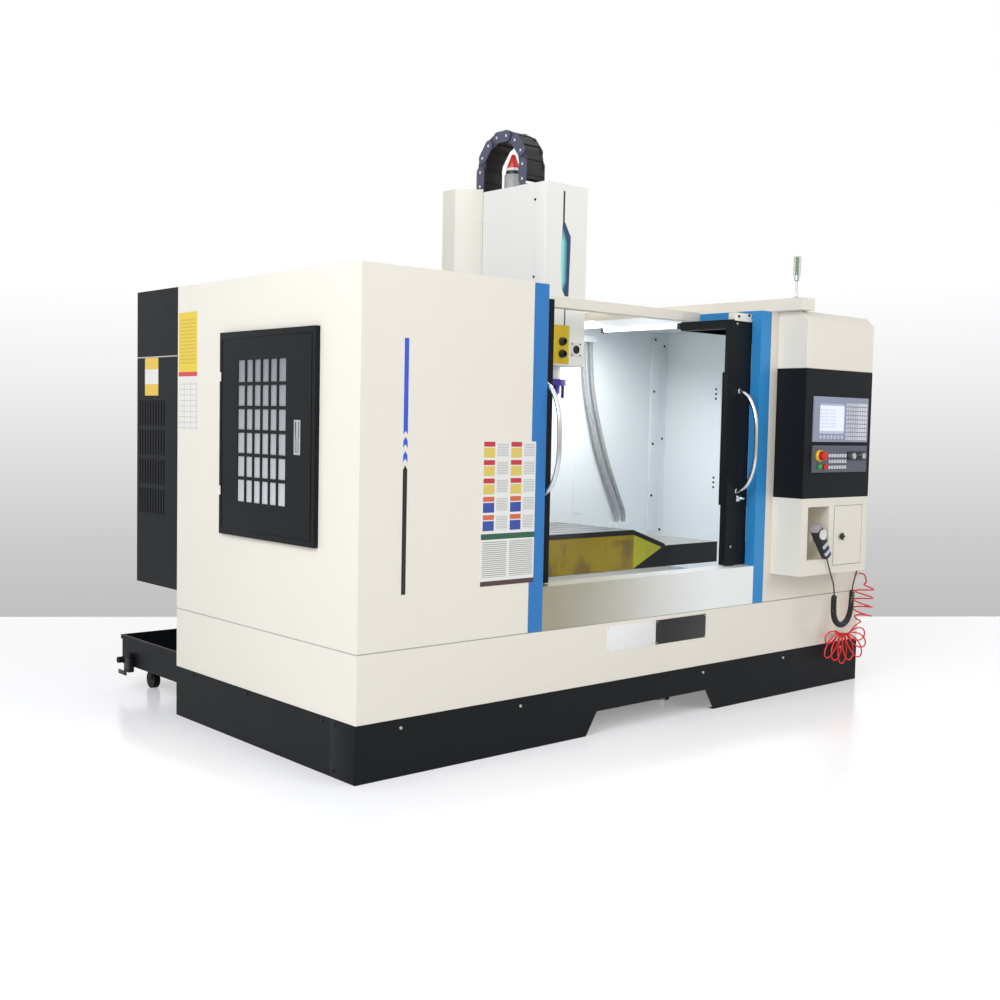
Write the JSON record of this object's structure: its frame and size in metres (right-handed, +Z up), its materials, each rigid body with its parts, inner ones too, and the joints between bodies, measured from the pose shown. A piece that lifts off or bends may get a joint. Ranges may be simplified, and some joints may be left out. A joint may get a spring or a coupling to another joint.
{
  "type": "cnc machining center",
  "caption": "Vertical machining centre in a folded sheet enclosure: sliding front doors, side windows, moving table, saddle, head and spindle, and a hanging control pendant.",
  "frame": {"origin": "floor level, centre of the machine's footprint", "axes": "+X to the operator's right, +Y from the front to the back, +Z up"},
  "size_m": [3.4786, 2.4204, 2.9009],
  "materials": {
    "cream_paint": "satin powder coat",
    "black_paint": "satin powder coat",
    "blue_paint": "satin powder coat",
    "casting_paint": "painted casting",
    "casting": "machined",
    "steel": "ground",
    "chrome": "polished",
    "window": "clear",
    "frosted": "pale",
    "black_plastic": "fine grain",
    "grey_plastic": "satin",
    "red_plastic": "gloss",
    "green_plastic": "gloss",
    "lamp": "translucent look",
    "tube_light": "lit tube",
    "yellow_sheet": "gloss",
    "black_rubber": "matt",
    "red_hose": "gloss",
    "grey_hose": "matt"
  },
  "bodies": {
    "machine": {"bed": "casting_paint", "levelling_feet": "steel", "column": "casting_paint", "guide_rails": "steel", "column_cover": "cream_paint", "base_skirt": "black_paint", "lower_guard": "cream_paint", "left_cabin": "cream_paint", "right_cabin": "cream_paint", "left_stile": "blue_paint", "right_stile": "blue_paint", "front_sill": "cream_paint", "header_beam": "cream_paint", "back_wall": "cream_paint", "cable_duct": "cream_paint", "work_light": "tube_light", "electrical_cabinet": "black_paint", "coolant_tank": "black_paint", "pendant_top_box": "cream_paint", "control_housing": "black_paint", "cnc_unit": "grey_plastic", "operator_panel": "black_plastic", "pendant_base_box": "cream_paint", "signal_tower": "lamp", "pulse_handset": "black_plastic", "handset_lead": "black_rubber", "handset_curl": "black_rubber", "handset_tail": "black_rubber", "air_hose_coil": "red_hose", "air_hose_riser": "red_hose", "flush_hoses": "grey_hose", "cable_chain": "black_plastic"},
    "left_door": {"left_door": "black_paint", "left_door_pane": "window", "left_door_handle": "chrome"},
    "right_door": {"right_door": "black_paint", "right_door_pane": "window", "right_door_handle": "chrome"},
    "left_window": {"left_side_door": "black_paint", "left_side_pane": "frosted", "left_side_handle": "chrome"},
    "right_window": {"right_side_door": "black_paint", "right_side_pane": "frosted", "right_side_handle": "chrome"},
    "saddle": {"saddle": "casting_paint", "saddle_tray": "black_paint"},
    "table": {"table": "casting", "table_guard": "yellow_sheet"},
    "head": {"head_casting": "casting_paint", "head_cover": "cream_paint"},
    "spindle": {"spindle": "steel"},
    "cabinet_door": {"cabinet_door": "black_paint"},
    "locker_door": {"locker_door": "cream_paint"},
    "locker_knob": {"locker_knob": "steel"},
    "estop": {"estop_button": "red_plastic"},
    "start": {"start_button": "green_plastic"},
    "stop": {"stop_button": "red_plastic"},
    "feed_knob": {"feed_knob": "black_plastic"},
    "speed_knob": {"speed_knob": "black_plastic"},
    "handset_dial": {"handset_dial": "grey_plastic"}
  },
  "joints": [
    {"name": "left_door_slide", "type": "slide", "parent": "machine", "child": "left_door", "axis": [1, 0, 0], "range_m": [0, 0.648]},
    {"name": "right_door_slide", "type": "slide", "parent": "machine", "child": "right_door", "axis": [-1, 0, 0], "range_m": [0, 0.582]},
    {"name": "left_window_hinge", "type": "hinge", "parent": "machine", "child": "left_window", "pos_m": [-1.7263, 0.05615, 0.895], "axis": [0, 0, -1], "range_deg": [0, 110]},
    {"name": "right_window_hinge", "type": "hinge", "parent": "machine", "child": "right_window", "pos_m": [1.7263, 0.05615, 0.895], "axis": [0, 0, 1], "range_deg": [0, 110]},
    {"name": "saddle_slide", "type": "slide", "parent": "machine", "child": "saddle", "axis": [0, 1, 0], "range_m": [-0.39, 0.11]},
    {"name": "table_slide", "type": "slide", "parent": "saddle", "child": "table", "axis": [1, 0, 0], "range_m": [-0.282, 0.738]},
    {"name": "head_slide", "type": "slide", "parent": "machine", "child": "head", "axis": [0, 0, 1], "range_m": [-0.52, 0], "deforming": ["cable_chain"]},
    {"name": "spindle_turn", "type": "hinge", "parent": "head", "child": "spindle", "pos_m": [0, -0.13985, 1.49], "axis": [0, 0, -1], "continuous": true},
    {"name": "cabinet_door_hinge", "type": "hinge", "parent": "machine", "child": "cabinet_door", "pos_m": [-0.575, 0.90515, 0.59], "axis": [0, 0, -1], "range_deg": [0, 110]},
    {"name": "locker_door_hinge", "type": "hinge", "parent": "machine", "child": "locker_door", "pos_m": [1.428, -1.14235, 0.695], "axis": [0, 0, 1], "range_deg": [0, 100]},
    {"name": "locker_knob_turn", "type": "hinge", "parent": "locker_door", "child": "locker_knob", "pos_m": [1.241, -1.14985, 0.845], "axis": [0, -1, 0], "range_deg": [0, 90]},
    {"name": "estop_push", "type": "slide", "parent": "machine", "child": "estop", "axis": [0, 1, 0], "range_m": [0, 0.004]},
    {"name": "start_push", "type": "slide", "parent": "machine", "child": "start", "axis": [0, 1, 0], "range_m": [0, 0.004], "stiffness_N_per_m": 900},
    {"name": "stop_push", "type": "slide", "parent": "machine", "child": "stop", "axis": [0, 1, 0], "range_m": [0, 0.004], "stiffness_N_per_m": 900},
    {"name": "feed_knob_turn", "type": "hinge", "parent": "machine", "child": "feed_knob", "pos_m": [1.297, -1.15785, 1.268], "axis": [0, -1, 0], "range_deg": [-135, 135]},
    {"name": "speed_knob_turn", "type": "hinge", "parent": "machine", "child": "speed_knob", "pos_m": [1.39, -1.15785, 1.268], "axis": [0, -1, 0], "range_deg": [-135, 135]},
    {"name": "handset_dial_turn", "type": "hinge", "parent": "machine", "child": "handset_dial", "pos_m": [1.01101, -1.19185, 0.86672], "axis": [0, -1, 0], "continuous": true}
  ]
}
